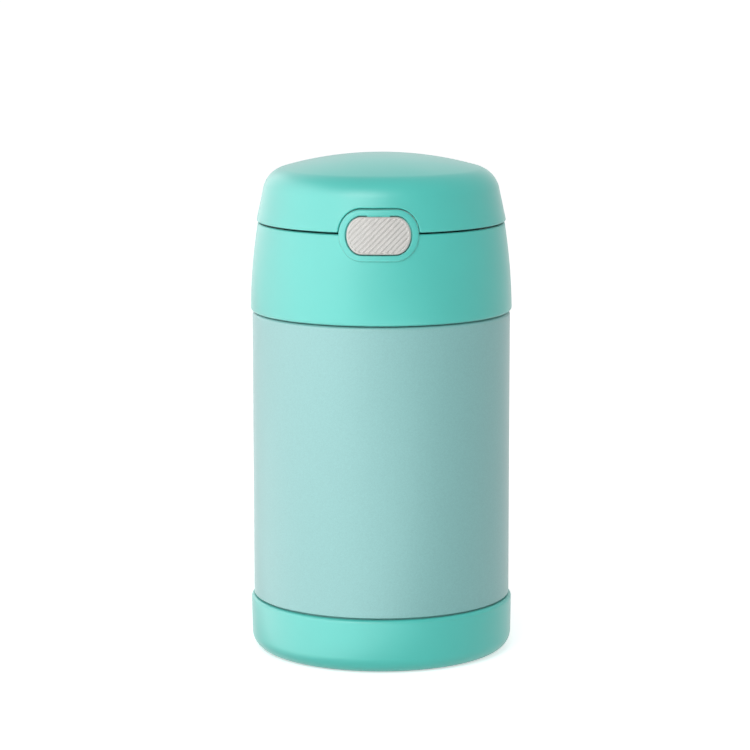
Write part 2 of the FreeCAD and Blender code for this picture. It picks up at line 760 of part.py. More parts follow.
def spoon_rivet():
    """Rivet through the tab and the handle, with a low head at each end."""
    low = spoon_rim - spoon_wall - rivet_head_t
    high = spoon_rim + seat_gap + spoon_handle_t
    shank = Part.makeCylinder(rivet_r, high - low, vec(spoon_pivot_x, 0, low))
    heads = [Part.makeCylinder(rivet_head_r, rivet_head_t, vec(spoon_pivot_x, 0, z)) for z in (low, high)]
    return shank.fuse(heads).removeSplitter()


PIECES = {
    "base_cup": base_cup,
    "outer_shell": outer_shell,
    "inner_liner": inner_liner,
    "shell_bottom": shell_bottom,
    "getter": getter,
    "stopper_body": stopper_body,
    "stopper_foam": stopper_foam,
    "stopper_cap": stopper_cap,
    "mouth_gasket": mouth_gasket,
    "collar": collar,
    "push_button": push_button,
    "latch_slide": latch_slide,
    "button_springs": button_springs,
    "hinge_pin": hinge_pin,
    "hinge_spring": hinge_spring,
    "cover_dome": cover_dome,
    "cover_liner": cover_liner,
    "spoon_bowl": spoon_bowl,
    "spoon_handle": spoon_handle,
    "spoon_rivet": spoon_rivet,
}

os.makedirs("parts", exist_ok=True)
for name, make in PIECES.items():
    shape = make()
    print(name, "solids", len(shape.Solids), "volume", round(shape.Volume, 1), "valid", shape.isValid())
    shape.exportStep("parts/" + name + ".step")
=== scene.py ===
import math

import bmesh
import bpy
import numpy as np
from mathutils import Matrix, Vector


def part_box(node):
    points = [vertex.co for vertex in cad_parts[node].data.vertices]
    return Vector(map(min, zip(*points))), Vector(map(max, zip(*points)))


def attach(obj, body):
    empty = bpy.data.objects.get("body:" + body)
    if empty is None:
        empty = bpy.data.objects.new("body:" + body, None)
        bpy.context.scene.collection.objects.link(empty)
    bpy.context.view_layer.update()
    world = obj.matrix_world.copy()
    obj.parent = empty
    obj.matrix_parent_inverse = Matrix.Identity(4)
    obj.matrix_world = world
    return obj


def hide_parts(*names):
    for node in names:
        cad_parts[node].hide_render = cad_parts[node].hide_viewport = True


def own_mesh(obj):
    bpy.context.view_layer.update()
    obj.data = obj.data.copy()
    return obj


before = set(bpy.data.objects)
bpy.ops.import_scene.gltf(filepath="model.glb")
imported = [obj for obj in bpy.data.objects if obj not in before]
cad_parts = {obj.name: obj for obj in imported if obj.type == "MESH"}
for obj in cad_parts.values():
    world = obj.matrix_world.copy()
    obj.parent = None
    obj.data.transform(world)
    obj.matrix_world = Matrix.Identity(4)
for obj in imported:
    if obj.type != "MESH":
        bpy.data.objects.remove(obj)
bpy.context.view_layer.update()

# The base cup is a satin mint polypropylene moulding, glued over the necked-in foot of the steel shell.
# It stands on a narrow ring foot round a shallow recess, and a large round leads up to its side.
MM = 0.001
MINT = (0.044, 0.505, 0.442)
BASE_TOP = 18.75
BASE_R = 45.42
BASE_LOW_R = 45.13
BASE_ROUND = 5.65
FOOT_R = 35.5
FOOT_H = 1.0
RECESS_R = 43.2
SOCKET_R = RECESS_R + 0.1
SOCKET_FLOOR = 4.0
PLATE_ROOM_R = 41.7
CUP_FLOOR = 2.2


def rounded(corners, steps=6):
    """Points along a chain of corners (a, b) or (a, b, round): each round is an arc that touches both
    runs, its centre on the bisector at round / cos(half the turn) from the corner."""
    chain = []
    for i, corner in enumerate(corners):
        here = np.array(corner[:2], float)
        if len(corner) < 3:
            chain.append(here[None])
            continue
        into = here - np.array(corners[i - 1][:2], float)
        out = np.array(corners[i + 1][:2], float) - here
        into, out = into / np.hypot(*into), out / np.hypot(*out)
        turn = math.acos(np.clip(into @ out, -1, 1))
        inward = (out - into) / np.hypot(*(out - into))
        radius = corner[2]
        centre = here + inward * radius / math.cos(turn / 2)
        sweep = np.linspace(-turn / 2, turn / 2, steps)[:, None]
        across = (into + out) / np.hypot(*(into + out))
        chain.append(centre + radius * (np.sin(sweep) * across - np.cos(sweep) * inward))
    return np.concatenate(chain)


def turned(profile, count=288):
    """Surface of revolution: each (radius, height) of the profile at count even angles from -Y round +X."""
    angle = np.linspace(0, 2 * np.pi, count, endpoint=False)
    radius, height = profile[:, :1], profile[:, 1:]
    return np.stack([radius * np.sin(angle), -radius * np.cos(angle), height + 0 * angle], -1)


def grid_quads(rows, columns, close_rows=False, close_columns=True):
    """Corner numbers of the four-sided faces between neighbouring rows and columns of a grid of points."""
    r = np.arange(rows if close_rows else rows - 1)[:, None]
    c = np.arange(columns if close_columns else columns - 1)[None]
    here, up = r * columns, (r + 1) % rows * columns
    right = (c + 1) % columns
    return np.stack([here + c, here + right, up + right, up + c], -1).reshape(-1, 4)


def add_piece(name, grids, body, material, replaces=(), sharp=35):
    """One closed mesh from grids of points in millimetres, as (points, close_rows, close_columns).
    Each grid is turned to face outwards by the sign of the volume that its faces enclose."""
    points, faces, first = [], [], 0
    for grid, close_rows, close_columns in grids:
        rows, columns = grid.shape[:2]
        flat = grid.reshape(-1, 3)
        quads = grid_quads(rows, columns, close_rows, close_columns)
        a, b, c, d = (flat[quads[:, k]] - flat.mean(0) for k in range(4))
        if (np.cross(b, c) * a).sum() + (np.cross(c, d) * a).sum() < 0:
            quads = quads[:, ::-1]
        points.append(flat)
        faces.append(quads + first)
        first += len(flat)
    mesh = bpy.data.meshes.new(name)
    mesh.from_pydata((np.concatenate(points) * MM).tolist(), [], np.concatenate(faces).tolist())
    work = bmesh.new()
    work.from_mesh(mesh)
    bmesh.ops.remove_doubles(work, verts=work.verts, dist=2e-6)
    bmesh.ops.dissolve_degenerate(work, edges=work.edges, dist=1e-7)
    work.to_mesh(mesh)
    work.free()
    mesh.shade_smooth()
    mesh.set_sharp_from_angle(angle=math.radians(sharp))
    mesh.materials.append(material)
    piece = bpy.data.objects.new(name, mesh)
    bpy.context.scene.collection.objects.link(piece)
    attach(piece, body)
    if replaces:
        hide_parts(*replaces)
    return piece


def blank(name):
    """A new material, with its nodes, its links and its shader."""
    material = bpy.data.materials.new(name)
    material.use_nodes = True
    nodes = material.node_tree.nodes
    return material, nodes, material.node_tree.links, nodes["Principled BSDF"]


def satin(shader):
    """Firm gloss under a fine sheen, which pales the surface towards its edges."""
    shader.inputs["Specular IOR Level"].default_value = 0.85
    shader.inputs["Sheen Weight"].default_value = 0.6
    shader.inputs["Sheen Roughness"].default_value = 0.3


def moulded(name, colour, roughness, grain=0.04, mottle=0.04):
    """Moulded plastic: an even colour with a faint cloudiness, a fine spark-eroded grain as bump, and
    patches of slightly different polish."""
    material, nodes, links, shader = blank(name)
    satin(shader)
    place = nodes.new("ShaderNodeTexCoord")
    cloud = nodes.new("ShaderNodeTexNoise")
    cloud.inputs["Scale"].default_value = 60
    cloud.inputs["Detail"].default_value = 4
    tint = nodes.new("ShaderNodeMixRGB")
    tint.inputs["Color1"].default_value = (*[c * (1 - mottle) for c in colour], 1)
    tint.inputs["Color2"].default_value = (*[min(c * (1 + mottle), 1) for c in colour], 1)
    polish = nodes.new("ShaderNodeMapRange")
    polish.inputs["To Min"].default_value = roughness - 0.04
    polish.inputs["To Max"].default_value = roughness + 0.04
    fine = nodes.new("ShaderNodeTexNoise")
    fine.inputs["Scale"].default_value = 5200
    fine.inputs["Detail"].default_value = 2
    bump = nodes.new("ShaderNodeBump")
    bump.inputs["Strength"].default_value = grain
    bump.inputs["Distance"].default_value = 0.00005
    links.new(place.outputs["Object"], cloud.inputs["Vector"])
    links.new(place.outputs["Object"], fine.inputs["Vector"])
    links.new(cloud.outputs["Fac"], tint.inputs["Fac"])
    links.new(cloud.outputs["Fac"], polish.inputs["Value"])
    links.new(tint.outputs["Color"], shader.inputs["Base Color"])
    links.new(polish.outputs["Result"], shader.inputs["Roughness"])
    links.new(fine.outputs["Fac"], bump.inputs["Height"])
    links.new(bump.outputs["Normal"], shader.inputs["Normal"])
    return material


mint_plastic = moulded("mint_plastic", MINT, 0.42)
base_outline = rounded([
    (0, FOOT_H), (FOOT_R - 1, FOOT_H, 0.5), (FOOT_R, 0, 0.5), (BASE_LOW_R, 0, BASE_ROUND),
    (BASE_R, BASE_TOP, 1.2), (SOCKET_R, BASE_TOP), (SOCKET_R, SOCKET_FLOOR), (PLATE_ROOM_R, SOCKET_FLOOR),
    (PLATE_ROOM_R, CUP_FLOOR), (0, CUP_FLOOR),
], 10)
add_piece("base_cup_skin", [(turned(base_outline), False, True)], "jar", mint_plastic,
          ["base_cup"])

# The body is one sheet of stainless steel, drawn and necked in at both ends, with a pearl powder coat.
# Its neck is left bare and carries one rolled thread that the lid screws onto.
BODY_R = 44.5
STEP_LOW = BASE_TOP + 0.35
STEP_HIGH = BASE_TOP + 0.65
SHELL_TOP = 118.2
SHOULDER_RISE = 0.8
SHELL_WALL = 0.6
NECK_R = 38.2
NECK_TOP = 136.0
PAINT = (0.196, 0.450, 0.440)
PAINT_END = 118.9
BARE_STEEL = (0.62, 0.62, 0.61)


def offset_chain(chain, distance):
    """The chain moved to its left by a distance along the mean normal of the runs that meet there."""
    run = np.diff(chain, axis=0)
    run = run / np.maximum(np.hypot(*run.T), 1e-9)[:, None]
    normal = np.stack([-run[:, 1], run[:, 0]], -1)
    both = np.concatenate([normal[:1], normal[:-1] + normal[1:], normal[-1:]])
    both = both / np.hypot(*both.T)[:, None]
    lean = np.concatenate([[1], (both[1:-1] * normal[1:]).sum(1), [1]])[:, None]
    return chain + both * distance / np.maximum(lean, 0.5)


def sheet_outline(chain, thickness):
    """Closed outline of a sheet with the chain as one face."""
    return np.concatenate([chain, offset_chain(chain, thickness)[::-1]])


def pearl_paint():
    """Pearl powder coat: tiny flakes that tilt the gloss, a pale cast at grazing angles, and bare steel
    above the shoulder, where the coat stops under the lid."""
    material, nodes, links, shader = blank("pearl_paint")
    satin(shader)
    place = nodes.new("ShaderNodeTexCoord")
    flakes = nodes.new("ShaderNodeTexVoronoi")
    flakes.inputs["Scale"].default_value = 3800
    flake_mix = nodes.new("ShaderNodeMixRGB")
    flake_mix.inputs["Color1"].default_value = (*[c * 0.93 for c in PAINT], 1)
    flake_mix.inputs["Color2"].default_value = (*[c * 1.07 for c in PAINT], 1)
    bump = nodes.new("ShaderNodeBump")
    bump.inputs["Strength"].default_value = 0.06
    bump.inputs["Distance"].default_value = 0.00004
    height = nodes.new("ShaderNodeSeparateXYZ")
    bare = nodes.new("ShaderNodeMath")
    bare.operation = "GREATER_THAN"
    bare.inputs[1].default_value = PAINT_END * MM
    cover = nodes.new("ShaderNodeMixRGB")
    cover.inputs["Color2"].default_value = (*BARE_STEEL, 1)
    rough = nodes.new("ShaderNodeMapRange")
    rough.inputs["To Min"].default_value = 0.48
    rough.inputs["To Max"].default_value = 0.3
    links.new(place.outputs["Object"], flakes.inputs["Vector"])
    links.new(place.outputs["Object"], height.inputs["Vector"])
    links.new(height.outputs["Z"], bare.inputs[0])
    links.new(flakes.outputs["Color"], flake_mix.inputs["Fac"])
    links.new(flake_mix.outputs["Color"], cover.inputs["Color1"])
    links.new(bare.outputs["Value"], cover.inputs["Fac"])
    links.new(cover.outputs["Color"], shader.inputs["Base Color"])
    links.new(bare.outputs["Value"], shader.inputs["Metallic"])
    links.new(bare.outputs["Value"], rough.inputs["Value"])
    links.new(rough.outputs["Result"], shader.inputs["Roughness"])
    links.new(flakes.outputs["Distance"], bump.inputs["Height"])
    links.new(bump.outputs["Normal"], shader.inputs["Normal"])
    return material


shell_chain = rounded([
    (RECESS_R, SOCKET_FLOOR), (RECESS_R, STEP_LOW, 0.3), (BODY_R, STEP_HIGH, 0.3),
    (BODY_R, SHELL_TOP, 1.2), (NECK_R, SHELL_TOP + SHOULDER_RISE, 1.5), (NECK_R, NECK_TOP),
], 8)
add_piece("painted_shell", [(turned(sheet_outline(shell_chain, SHELL_WALL)), True, True)], "jar",
          pearl_paint(), ["outer_shell"])

# The rolled thread is a rounded ridge that climbs the bare neck by one lead per turn and fades out at
# both ends. The lid's skirt has a matching ridge inside, so the two slide along each other.
LEAD = 8.0
THREAD_LOW = 125.5
THREAD_TURNS = 1.0
RIDGE_H = 0.9
RIDGE_HALF = 1.5
RIDGE_ROOT = 0.25


def steel(name, tone, roughness, streak=0.04):
    """Satin stainless steel: fine streaks round the axis, from noise that is stretched along them."""
    material, nodes, links, shader = blank(name)
    shader.inputs["Metallic"].default_value = 1.0
    place = nodes.new("ShaderNodeTexCoord")
    stretch = nodes.new("ShaderNodeMapping")
    stretch.inputs["Scale"].default_value = (40, 40, 2600)
    lines = nodes.new("ShaderNodeTexNoise")
    lines.inputs["Scale"].default_value = 1.0
    lines.inputs["Detail"].default_value = 3
    shade = nodes.new("ShaderNodeMixRGB")
    shade.inputs["Color1"].default_value = (tone * 0.9, tone * 0.9, tone * 0.89, 1)
    shade.inputs["Color2"].default_value = (tone * 1.08, tone * 1.08, tone * 1.06, 1)
    polish = nodes.new("ShaderNodeMapRange")
    polish.inputs["To Min"].default_value = roughness - streak
    polish.inputs["To Max"].default_value = roughness + streak
    links.new(place.outputs["Object"], stretch.inputs["Vector"])
    links.new(stretch.outputs["Vector"], lines.inputs["Vector"])
    links.new(lines.outputs["Fac"], shade.inputs["Fac"])
    links.new(lines.outputs["Fac"], polish.inputs["Value"])
    links.new(shade.outputs["Color"], shader.inputs["Base Color"])
    links.new(polish.outputs["Result"], shader.inputs["Roughness"])
    return material


def thread_ridge(radius, rise, low, turns):
    """Ridge of half-cosine section carried round a helix: at angle t its middle is at height
    low + lead * t / 2 pi, and its rise fades in and out as sin over the first and last eighth turn. Its
    root is sunk a little into the wall."""
    t = np.linspace(0, 2 * np.pi * turns, int(180 * turns))[:, None]
    s = np.linspace(-1, 1, 13)[None]
    fade = np.clip(np.minimum(t, 2 * np.pi * turns - t) / (np.pi / 4), 0, 1)
    fade = np.sin(fade * np.pi / 2)
    lift = rise * np.cos(s * np.pi / 2) * fade
    back = -RIDGE_ROOT * np.sign(rise)
    r = np.concatenate([radius + lift, radius + back + 0 * lift[:, ::-1]], 1)
    z = low + LEAD * t / (2 * np.pi) + np.concatenate([s, s[:, ::-1]], 1) * RIDGE_HALF
    rows = np.stack([r * np.sin(t), -r * np.cos(t), z], -1)
    first, last = rows[:1].mean(1, keepdims=True), rows[-1:].mean(1, keepdims=True)
    ends = np.ones((1, rows.shape[1], 1))
    return np.concatenate([first * ends, rows, last * ends])


satin_steel = steel("satin_steel", 0.62, 0.3)
neck_ridge = thread_ridge(NECK_R, RIDGE_H, THREAD_LOW, THREAD_TURNS)
add_piece("neck_thread", [(neck_ridge, False, True)], "jar", satin_steel)

# The liner is the second steel sheet: the food cavity with its rounded floor, and a rim rolled over the
# shell's neck and welded there. Satin inside.
LINER_R = 40.0
LINER_FLOOR = 15.0
LINER_CORNER = 10
LINER_SHOULDER = 104
LINER_BEND = 6
MOUTH_R = 36.5
MOUTH_LOW = 112
LINER_WALL = 0.5
liner_chain = rounded([
    (0, LINER_FLOOR), (LINER_R, LINER_FLOOR, LINER_CORNER), (LINER_R, LINER_SHOULDER, LINER_BEND),
    (MOUTH_R, MOUTH_LOW, LINER_BEND), (MOUTH_R, NECK_TOP + LINER_WALL, 0.4),
    (NECK_R, NECK_TOP + LINER_WALL),
], 14)
add_piece("liner_skin", [(turned(sheet_outline(liner_chain, -LINER_WALL)), False, True)], "jar",
          satin_steel, ["inner_liner"])

# A flanged steel plate closes the vacuum space under the liner. Its dimple was the evacuation hole, and
# the getter pan sits beside it. Both are sealed in.
PLATE_R = 42.57
PLATE_TOP = 7.6
PLATE_WALL = 0.6
DIMPLE_FOOT_R = 6.4
DIMPLE_R = 5.0
DIMPLE_TOP = 9.0


def recoat(node, material):
    """Gives a CAD node's own mesh this material alone."""
    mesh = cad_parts[node].data
    mesh.materials.clear()
    mesh.materials.append(material)


plate_chain = rounded([
    (PLATE_R, SOCKET_FLOOR), (PLATE_R, PLATE_TOP, 1.2), (DIMPLE_FOOT_R, PLATE_TOP, 0.8),
    (DIMPLE_R, DIMPLE_TOP, 0.8), (0, DIMPLE_TOP),
], 8)
add_piece("bottom_plate", [(turned(sheet_outline(plate_chain, PLATE_WALL)), False, True)], "jar",
          satin_steel, ["shell_bottom"])
recoat("getter", satin_steel)

# A translucent white silicone ring seals the plug in the mouth. It sits in the groove over the plug's
# bottom cap and has two rounded beads.
PLUG_R = 35.3
CAP_LOW = 110.0
CAP_TOP = 113.8
PLUG_LOW = 118.3
SPIGOT_R = 33.55
SEAT_GAP = 0.3
GASKET_R = 35.7
BEAD_R = 36.2
WAIST_R = 35.5
silicone = moulded("silicone", (0.78, 0.79, 0.77), 0.5, grain=0.02, mottle=0.02)
silicone.node_tree.nodes["Principled BSDF"].inputs["Subsurface Weight"].default_value = 0.2
ring_low, ring_high = CAP_TOP + SEAT_GAP, PLUG_LOW - SEAT_GAP
bead = (ring_high - ring_low) / 4
gasket_outline = rounded([
    (SPIGOT_R + SEAT_GAP, ring_low + 0.01), (GASKET_R, ring_low, 0.4), (BEAD_R, ring_low + bead, 0.4),
    (WAIST_R, ring_low + 2 * bead, 0.4), (BEAD_R, ring_low + 3 * bead, 0.4), (GASKET_R, ring_high, 0.4),
    (SPIGOT_R + SEAT_GAP, ring_high),
], 8)
add_piece("gasket_skin", [(turned(gasket_outline), True, True)], "gasket_ring", silicone,
          ["mouth_gasket"])

# The stopper is one mint moulding: the spoon tray on top, a flange over the mouth, the wall of the plug
# below, and the threaded skirt outside. Foam and a bottom cap fill the plug.
TRAY_R = 33.5
TRAY_WALL_R = TRAY_R + 1.6
TRAY_FLOOR = 131.5
TRAY_UNDER = 130.0
DECK_UNDER = 145.4
FLANGE_Z = 137.0
FLANGE_TOP = 139.4
SKIRT_R = 41.3
SKIRT_IN = 39.7
SKIRT_LOW = 120.4
SKIRT_THREAD_LOW = THREAD_LOW - 3.5
SKIRT_TURNS = 0.9
PLUG_IN = 33.7
FOAM_LOW = 112.0
FOAM_LOW_R = 31.1
FOAM_STEP = 124.3
FOAM_R = 33.4
CAP_R = 35.6
SPIGOT_TOP = 124.0
SPIGOT_IN = SPIGOT_R - 2
tray_outline = rounded([
    (0, TRAY_FLOOR), (TRAY_R, TRAY_FLOOR, 2.0), (TRAY_R, DECK_UNDER), (TRAY_WALL_R, DECK_UNDER),
    (TRAY_WALL_R, FLANGE_TOP), (SKIRT_R, FLANGE_TOP, 0.6), (SKIRT_R, SKIRT_LOW, 0.4),
    (SKIRT_IN, SKIRT_LOW, 0.4), (SKIRT_IN, FLANGE_Z), (PLUG_R, FLANGE_Z), (PLUG_R, PLUG_LOW),
    (PLUG_IN, PLUG_LOW), (PLUG_IN, TRAY_UNDER, 1.0), (0, TRAY_UNDER),
], 8)
add_piece("stopper_skin", [(turned(tray_outline), False, True)], "lid", mint_plastic,
          ["stopper_body"])
skirt_ridge = thread_ridge(SKIRT_IN, -RIDGE_H, SKIRT_THREAD_LOW, SKIRT_TURNS)
add_piece("skirt_thread", [(skirt_ridge, False, True)], "lid", mint_plastic)
foam = moulded("rigid_foam", (0.80, 0.78, 0.70), 0.8, grain=0.5, mottle=0.08)
foam_outline = rounded([
    (0, FOAM_LOW), (FOAM_LOW_R, FOAM_LOW, 1.0), (FOAM_LOW_R, FOAM_STEP), (FOAM_R, FOAM_STEP),
    (FOAM_R, TRAY_UNDER, 1.0), (0, TRAY_UNDER),
], 6)
add_piece("foam_disc", [(turned(foam_outline, 120), False, True)], "lid", foam, ["stopper_foam"])
cap_outline = rounded([
    (0, CAP_LOW), (CAP_R, CAP_LOW, 2.0), (CAP_R, CAP_TOP, 0.4), (SPIGOT_R, CAP_TOP),
    (SPIGOT_R, SPIGOT_TOP), (SPIGOT_IN, SPIGOT_TOP), (SPIGOT_IN, FOAM_LOW, 1.0), (0, FOAM_LOW),
], 8)
add_piece("cap_skin", [(turned(cap_outline), False, True)], "lid", mint_plastic,
          ["stopper_cap"])

# The collar is the lid's outer moulding: a slightly bowed wall whose top edge dips under the bezel at the
# front and makes room for the cover's knuckles at the back.
COLLAR_LOW = 118.7
COLLAR_LOW_R = 45.1
COLLAR_TOP_R = 42.5
COLLAR_BOW = 0.57
COLLAR_EDGE = 0.6
COLLAR_BAND = 121.5
COLLAR_MIDDLE = 134.0
PARTING = 148.95
BUTTON_Z = 148.85
RIM_IN = 41.4
FOOT_IN = COLLAR_LOW_R - 2.1
DECK_TOP = 146.9
PILL_FLAT = 5.7
NOTCH_W = 24.8
NOTCH_H = 15.6
NOTCH_ENDS = -0.9
HINGE_Y = 42.2
HINGE_Z = 149.5
HINGE_ROOM = 3.4
EAR_IN = 9.2
EAR_OUT = 13.8
ARC_R = 43.0
INNER_ROUND = 0.4


def pill_outline(width, height, count=480):
    """Button's outline from its lowest point round by +X: level flats joined by half ellipses, with the
    points spread evenly in length. Returns (x, z) about the button's centre."""
    a, b = width / 2 - PILL_FLAT, height / 2
    t = np.linspace(-np.pi / 2, np.pi / 2, 200)
    right = np.stack([PILL_FLAT + a * np.cos(t), b * np.sin(t)], -1)
    loop = np.concatenate([[[0, -b]], right, -right, [[0, -b]]])
    return evenly(loop, count + 1)[:-1]


def evenly(chain, count):
    """The same chain with its points spread evenly in length."""
    way = np.concatenate([[0], np.cumsum(np.hypot(*np.diff(chain, axis=0).T))])
    even = np.linspace(0, way[-1], count)
    return np.stack([np.interp(even, way, chain[:, k]) for k in (0, 1)], -1)


def collar_r(z):
    """Collar's outside radius: a straight taper plus a shallow parabola for its bow."""
    share = (np.asarray(z, float) - COLLAR_LOW) / (PARTING - COLLAR_LOW)
    return COLLAR_LOW_R + (COLLAR_TOP_R - COLLAR_LOW_R) * share + 4 * COLLAR_BOW * share * (1 - share)


def edge_loop(front, radius_at, level, back_half, back_level, front_round=0.8, back_round=1.2, count=1000):
    """A wall's shaped edge as (angle from -Y, height): from the front's curve, level round the side, up or
    down to the notch at the back, and mirrored home. Lengths along it take an angle as ARC_R millimetres
    per radian."""
    front = np.stack([np.arcsin(front[:, 0] / radius_at(front[:, 1])), front[:, 1]], -1)
    back = math.pi - math.asin(back_half / float(radius_at(level)))
    corners = rounded([tuple(front[-1] * [ARC_R, 1]), (front[-1, 0] * ARC_R, level, front_round),
                       (back * ARC_R, level, back_round), (back * ARC_R, back_level, back_round),
                       (math.pi * ARC_R, back_level)], 10)
    half = np.concatenate([front[:-1] * [ARC_R, 1], corners])
    half = evenly(half, count // 2 + 1) / [ARC_R, 1]
    return np.concatenate([half, (half * [-1, 1])[-2:0:-1] + [2 * math.pi, 0]])


def inset(loop, distance, sign):
    """The loop moved into the wall: at right angles to its run, up for +1 or down for -1."""
    ahead, behind = np.roll(loop, -1, 0), np.roll(loop, 1, 0)
    run = ahead - behind
    run[:, 0] = (run[:, 0] + math.pi) % (2 * math.pi) - math.pi
    run[:, 0] *= ARC_R
    run /= np.hypot(*run.T)[:, None]
    return loop + np.stack([-run[:, 1] / ARC_R, run[:, 0]], -1) * distance * sign


def on_wall(loop, radius):
    """Points of a wall from (angle, height) and a radius for each."""
    return np.stack([radius * np.sin(loop[:, 0]), -radius * np.cos(loop[:, 0]), loop[:, 1]], -1)


def shaped_wall(loop, sign, outer, inner, far, edge, rows=10):
    """Rows of a wall of revolution from a far level on its inner side, round its shaped edge, to the same
    level outside. The edge is rounded by quarter arcs: depth edge * (1 - cos t) at inset edge * (1 - sin t),
    and less deep inside. Columns ease from the loop's own spacing to an even one on the way to the far
    level."""
    even = np.linspace(0, 2 * math.pi, len(loop), endpoint=False)
    goal = np.stack([even, np.full(len(loop), float(far))], -1)
    start = inset(loop, edge, sign)
    made = []
    for s in np.linspace(1, 0, rows)[:-1]:
        row = start * (1 - s) + goal * s
        made.append(on_wall(row, inner(row[:, 1])))
    quarter = np.linspace(0, math.pi / 2, 6)
    for t in quarter:
        row = inset(loop, edge * (1 - math.sin(t)), sign)
        made.append(on_wall(row, inner(row[:, 1]) + edge * INNER_ROUND * (1 - math.cos(t))))
    for t in quarter[::-1]:
        row = inset(loop, edge * (1 - math.sin(t)), sign)
        made.append(on_wall(row, outer(row[:, 1]) - edge * (1 - math.cos(t))))
    for s in np.linspace(0, 1, rows)[1:]:
        row = start * (1 - s) + goal * s
        made.append(on_wall(row, outer(row[:, 1])))
    return made


def revolved_rows(profile, count):
    """Rows at even angles for a profile of (radius, height), to join on to a shaped wall."""
    even = np.linspace(0, 2 * math.pi, count, endpoint=False)
    return [on_wall(np.stack([even, np.full(count, z)], -1), r) for r, z in profile]


def collar_inner(z):
    """Collar's inside radius: straight above the flange, then opening out to the foot."""
    share = np.clip((FLANGE_Z - z) / (FLANGE_Z - COLLAR_LOW), 0, 1)
    return RIM_IN + (FOOT_IN - RIM_IN) * share


notch = pill_outline(NOTCH_W, NOTCH_H)
notch = notch[notch[:, 0] >= -1e-9]
notch = notch[notch[:, 1] <= NOTCH_ENDS] + [0, BUTTON_Z]
collar_loop = edge_loop(notch[np.argsort(notch[:, 0])], collar_r, PARTING, EAR_IN, HINGE_Z - HINGE_ROOM)
collar_rows = shaped_wall(collar_loop, -1, collar_r, collar_inner, COLLAR_MIDDLE, COLLAR_EDGE, 12)
foot = rounded([
    (collar_inner(COLLAR_MIDDLE), COLLAR_MIDDLE), (collar_inner(COLLAR_LOW), COLLAR_LOW, 0.6),
    (COLLAR_LOW_R, COLLAR_LOW, 1.0), (float(collar_r(COLLAR_BAND)), COLLAR_BAND),
], 9)
bow = np.linspace(COLLAR_BAND, COLLAR_MIDDLE - 1, 6)[1:]
foot = np.concatenate([foot[1:], np.stack([collar_r(bow), bow], -1)])
collar_grid = np.stack(collar_rows + revolved_rows(foot[::-1], len(collar_loop)))

# Inside the collar a narrow deck runs round the tray, open at the front where the latch housing stands.
# The housing is a closed box whose roof has the slot for the cover's tongue.
HOUSING_X = 12.6
HOUSING_BACK = 28.3
HOUSING_FRONT = 37.8
HOUSING_LOW = 139.9
HOUSING_TOP = 148.4
HOUSING_EDGE = 0.4
WALL = 1.2
SLOT_X = 4.2
SLOT_FRONT = 37.4
SLOT_BACK = 32.75
DECK_START = 12.0
DECK_OUT = 41.6


def closed_ends(grid):
    """Adds a row at each end where the section shrinks to its mean point, so that the form is closed."""
    ends = np.ones((1, grid.shape[1], 1))
    return np.concatenate([grid[:1].mean(1, keepdims=True) * ends, grid,
                           grid[-1:].mean(1, keepdims=True) * ends])


def deck_ring():
    """Flat ring from the tray to the collar's wall. At radius r it starts at angle asin(DECK_START / r),
    inside the housing's side, and its top dips as an arc of HINGE_ROOM round the hinge axis between the
    ears."""
    top = [(r, DECK_TOP) for r in (36.0, 38.5, 40.0, 40.7, DECK_OUT)]
    section = rounded([(34.2, DECK_UNDER), (TRAY_R, DECK_UNDER, 0.3), (TRAY_R, DECK_TOP, 0.5)] + top
                      + [(DECK_OUT, DECK_UNDER)], 6)
    r, z = section[None, :, 0], section[None, :, 1]
    start = np.arcsin(DECK_START / r)
    share = np.linspace(0, 1, 420)[:, None]
    angle = start + share * (2 * np.pi - 2 * start)
    x, y = r * np.sin(angle), -r * np.cos(angle)
    dip = HINGE_Z - np.sqrt(np.maximum(HINGE_ROOM ** 2 - (y - HINGE_Y) ** 2, 0))
    dipped = (np.abs(x) < EAR_IN) & (y > 0) & (z > DECK_UNDER + 0.6)
    z = np.where(dipped, np.minimum(z, dip), z)
    return closed_ends(np.stack([x, y, z + 0 * x], -1))


def block_loop(x0, x1, y0, y1, corner, steps=6):
    """Rectangle with rounded corners, counter-clockwise, as (a, b)."""
    spots = []
    for (cx, cy), first in (((x1, y1), 0), ((x0, y1), 90), ((x0, y0), 180), ((x1, y0), 270)):
        t = np.radians(np.linspace(first, first + 90, steps))
        inner_x = cx - corner * np.sign(cx - (x0 + x1) / 2)
        inner_y = cy - corner * np.sign(cy - (y0 + y1) / 2)
        spots.append(np.stack([inner_x + corner * np.cos(t), inner_y + corner * np.sin(t)], -1))
    return np.concatenate(spots)


def prism(loop, low, high, edge, place, middle=None):
    """Closed prism on a star-shaped loop. Its two end faces have an edge round of quarter arcs, and place
    turns (a, b, height) into x, y, z."""
    middle = loop.mean(0) if middle is None else np.array(middle)
    run = np.roll(loop, -1, 0) - np.roll(loop, 1, 0)
    normal = np.stack([run[:, 1], -run[:, 0]], -1) / np.maximum(np.hypot(*run.T), 1e-9)[:, None]
    normal *= np.sign((normal * (loop - middle)).sum())
    t = np.linspace(0, np.pi / 2, 5)
    side = [(low + edge * (1 - math.sin(a)), edge * (1 - math.cos(a))) for a in t[::-1]]
    side += [(high - edge * (1 - math.sin(a)), edge * (1 - math.cos(a))) for a in t]
    rows = [(low, middle + 0 * loop)]
    rows += [(h, loop - normal * d) for h, d in side]
    rows += [(high, middle + 0 * loop)]
    return np.stack([place(p[:, 0], p[:, 1], h + 0 * p[:, 0]) for h, p in rows])


def upright(a, b, h):
    """Prism along Z from a loop in x, y."""
    return np.stack([a, b, h], -1)


def sideways(a, b, h):
    """Prism along X from a loop in y, z."""
    return np.stack([h, a, b], -1)


